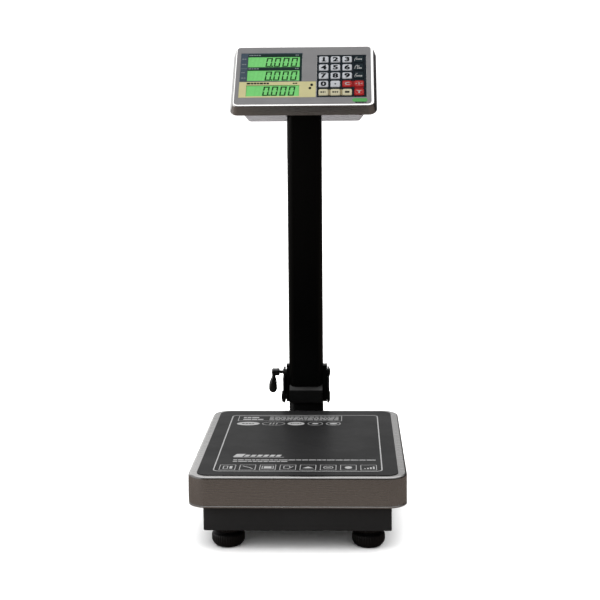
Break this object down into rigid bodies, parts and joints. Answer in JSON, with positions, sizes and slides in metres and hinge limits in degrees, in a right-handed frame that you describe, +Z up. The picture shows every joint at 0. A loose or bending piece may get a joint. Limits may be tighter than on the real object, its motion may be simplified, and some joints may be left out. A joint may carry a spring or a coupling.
{
  "type": "retail price scale",
  "caption": "Counter price scale: steel platform on a low base with levelling feet, folding mast with clamp lever, and a sloping price head with keys and displays.",
  "frame": {"origin": "centre of the whole scale's outline on the floor plane that the feet stand on", "axes": "+Z up, +X to the right of the person facing the displays, +Y away from that person, from the platform to the mast"},
  "size_m": [0.3, 0.488, 0.6997],
  "materials": {
    "brushed_steel": "brushed, bright along the upper rim",
    "platform_film": "glossy printed sheet",
    "zinc_plate": "zinc plated steel",
    "rubber": "matte",
    "cell_alloy": "machined",
    "base_paint": "fine powder coat",
    "vial": "clear tinted",
    "foot_plastic": "moulded, knurled",
    "mast_paint": "satin black paint",
    "black_steel": "blackened steel",
    "lever_paint": "black coated casting",
    "cover_steel": "brushed, bright along the rolled rim",
    "cover_film": "satin grey printed film",
    "case_plastic": "light grey moulding",
    "label_film": "printed film",
    "lcd_glass": "green backlit display",
    "board": "circuit board",
    "key_ground": "printed film",
    "battery_case": "sealed battery case",
    "black_plastic": "moulded",
    "cable": "jacketed cable",
    "key_grey": "satin key cap",
    "key_red": "satin key cap",
    "key_beige": "satin key cap",
    "key_dark": "satin key cap"
  },
  "bodies": {
    "base": {"base_frame": "base_paint", "base_crossbeam": "zinc_plate", "load_cell": "cell_alloy", "load_frame": "zinc_plate", "bumper_1": "rubber", "bumper_2": "rubber", "bumper_3": "rubber", "bumper_4": "rubber", "bubble_level": "vial", "foot_locknut_1": "foot_plastic", "foot_locknut_2": "foot_plastic", "foot_locknut_3": "foot_plastic", "foot_locknut_4": "foot_plastic", "mast_stub": "mast_paint", "hinge_bracket": "mast_paint", "pivot_bolt": "black_steel", "pivot_nut": "black_steel", "cell_cable_base": "cable"},
    "tray": {"tray": "brushed_steel", "platform_sheet": "platform_film"},
    "mast": {"mast": "mast_paint", "clamp_bolt": "black_steel", "cell_cable_mast": "cable", "head_cover": "cover_steel", "face_film": "cover_film", "lower_case": "case_plastic", "display_panel": "label_film", "lcd_module": "lcd_glass", "main_board": "board", "keypad_frame": "key_ground", "keypad_board": "board", "battery": "battery_case", "charge_socket": "black_plastic"},
    "clamp_lever": {"clamp_lever": "lever_paint"},
    "battery_door": {"battery_door": "case_plastic"},
    "power_switch": {"power_switch": "black_plastic"},
    "foot_1": {"foot_1": "foot_plastic"},
    "foot_2": {"foot_2": "foot_plastic"},
    "foot_3": {"foot_3": "foot_plastic"},
    "foot_4": {"foot_4": "foot_plastic"},
    "key_1": {"key_1": "key_grey"},
    "key_2": {"key_2": "key_grey"},
    "key_3": {"key_3": "key_grey"},
    "key_print": {"key_print": "key_dark"},
    "key_4": {"key_4": "key_grey"},
    "key_5": {"key_5": "key_grey"},
    "key_6": {"key_6": "key_grey"},
    "key_mode": {"key_mode": "key_dark"},
    "key_7": {"key_7": "key_grey"},
    "key_8": {"key_8": "key_grey"},
    "key_9": {"key_9": "key_grey"},
    "key_price": {"key_price": "key_dark"},
    "key_0": {"key_0": "key_grey"},
    "key_point": {"key_point": "key_grey"},
    "key_clear": {"key_clear": "key_red"},
    "key_zero": {"key_zero": "key_red"},
    "key_memory": {"key_memory": "key_beige"},
    "key_recall": {"key_recall": "key_beige"},
    "key_add": {"key_add": "key_beige"},
    "key_tare": {"key_tare": "key_red"}
  },
  "joints": [
    {"name": "mast_fold", "type": "hinge", "parent": "base", "child": "mast", "pos_m": [0, 0.17398, 0.1275], "axis": [-1, 0, 0], "range_deg": [-90, 0]},
    {"name": "clamp_lever_turn", "type": "hinge", "parent": "mast", "child": "clamp_lever", "pos_m": [-0.05, 0.18098, 0.1673], "axis": [1, 0, 0], "range_deg": [0, 150]},
    {"name": "tray_lift", "type": "slide", "parent": "base", "child": "tray", "axis": [0, 0, 1], "range_m": [0, 0.06]},
    {"name": "foot_1_screw", "type": "slide", "parent": "base", "child": "foot_1", "axis": [0, 0, -1], "range_m": [0, 0.01]},
    {"name": "foot_2_screw", "type": "slide", "parent": "base", "child": "foot_2", "axis": [0, 0, -1], "range_m": [0, 0.01]},
    {"name": "foot_3_screw", "type": "slide", "parent": "base", "child": "foot_3", "axis": [0, 0, -1], "range_m": [0, 0.01]},
    {"name": "foot_4_screw", "type": "slide", "parent": "base", "child": "foot_4", "axis": [0, 0, -1], "range_m": [0, 0.01]},
    {"name": "key_1_press", "type": "slide", "parent": "mast", "child": "key_1", "axis": [0, 0.6756, -0.7373], "range_m": [0, 0.0006], "stiffness_N_per_m": 2500},
    {"name": "key_2_press", "type": "slide", "parent": "mast", "child": "key_2", "axis": [0, 0.6756, -0.7373], "range_m": [0, 0.0006], "stiffness_N_per_m": 2500},
    {"name": "key_3_press", "type": "slide", "parent": "mast", "child": "key_3", "axis": [0, 0.6756, -0.7373], "range_m": [0, 0.0006], "stiffness_N_per_m": 2500},
    {"name": "key_print_press", "type": "slide", "parent": "mast", "child": "key_print", "axis": [0, 0.6756, -0.7373], "range_m": [0, 0.0006], "stiffness_N_per_m": 2500},
    {"name": "key_4_press", "type": "slide", "parent": "mast", "child": "key_4", "axis": [0, 0.6756, -0.7373], "range_m": [0, 0.0006], "stiffness_N_per_m": 2500},
    {"name": "key_5_press", "type": "slide", "parent": "mast", "child": "key_5", "axis": [0, 0.6756, -0.7373], "range_m": [0, 0.0006], "stiffness_N_per_m": 2500},
    {"name": "key_6_press", "type": "slide", "parent": "mast", "child": "key_6", "axis": [0, 0.6756, -0.7373], "range_m": [0, 0.0006], "stiffness_N_per_m": 2500},
    {"name": "key_mode_press", "type": "slide", "parent": "mast", "child": "key_mode", "axis": [0, 0.6756, -0.7373], "range_m": [0, 0.0006], "stiffness_N_per_m": 2500},
    {"name": "key_7_press", "type": "slide", "parent": "mast", "child": "key_7", "axis": [0, 0.6756, -0.7373], "range_m": [0, 0.0006], "stiffness_N_per_m": 2500},
    {"name": "key_8_press", "type": "slide", "parent": "mast", "child": "key_8", "axis": [0, 0.6756, -0.7373], "range_m": [0, 0.0006], "stiffness_N_per_m": 2500},
    {"name": "key_9_press", "type": "slide", "parent": "mast", "child": "key_9", "axis": [0, 0.6756, -0.7373], "range_m": [0, 0.0006], "stiffness_N_per_m": 2500},
    {"name": "key_price_press", "type": "slide", "parent": "mast", "child": "key_price", "axis": [0, 0.6756, -0.7373], "range_m": [0, 0.0006], "stiffness_N_per_m": 2500},
    {"name": "key_0_press", "type": "slide", "parent": "mast", "child": "key_0", "axis": [0, 0.6756, -0.7373], "range_m": [0, 0.0006], "stiffness_N_per_m": 2500},
    {"name": "key_point_press", "type": "slide", "parent": "mast", "child": "key_point", "axis": [0, 0.6756, -0.7373], "range_m": [0, 0.0006], "stiffness_N_per_m": 2500},
    {"name": "key_clear_press", "type": "slide", "parent": "mast", "child": "key_clear", "axis": [0, 0.6756, -0.7373], "range_m": [0, 0.0006], "stiffness_N_per_m": 2500},
    {"name": "key_zero_press", "type": "slide", "parent": "mast", "child": "key_zero", "axis": [0, 0.6756, -0.7373], "range_m": [0, 0.0006], "stiffness_N_per_m": 2500},
    {"name": "key_memory_press", "type": "slide", "parent": "mast", "child": "key_memory", "axis": [0, 0.6756, -0.7373], "range_m": [0, 0.0006], "stiffness_N_per_m": 2500},
    {"name": "key_recall_press", "type": "slide", "parent": "mast", "child": "key_recall", "axis": [0, 0.6756, -0.7373], "range_m": [0, 0.0006], "stiffness_N_per_m": 2500},
    {"name": "key_add_press", "type": "slide", "parent": "mast", "child": "key_add", "axis": [0, 0.6756, -0.7373], "range_m": [0, 0.0006], "stiffness_N_per_m": 2500},
    {"name": "key_tare_press", "type": "slide", "parent": "mast", "child": "key_tare", "axis": [0, 0.6756, -0.7373], "range_m": [0, 0.0006], "stiffness_N_per_m": 2500},
    {"name": "battery_door_open", "type": "hinge", "parent": "mast", "child": "battery_door", "pos_m": [0.056, 0.18176, 0.59083], "axis": [-1, 0, 0], "range_deg": [0, 100]},
    {"name": "power_switch_rock", "type": "hinge", "parent": "mast", "child": "power_switch", "pos_m": [-0.06, 0.218, 0.62573], "axis": [1, 0, 0], "range_deg": [0, 14]}
  ]
}
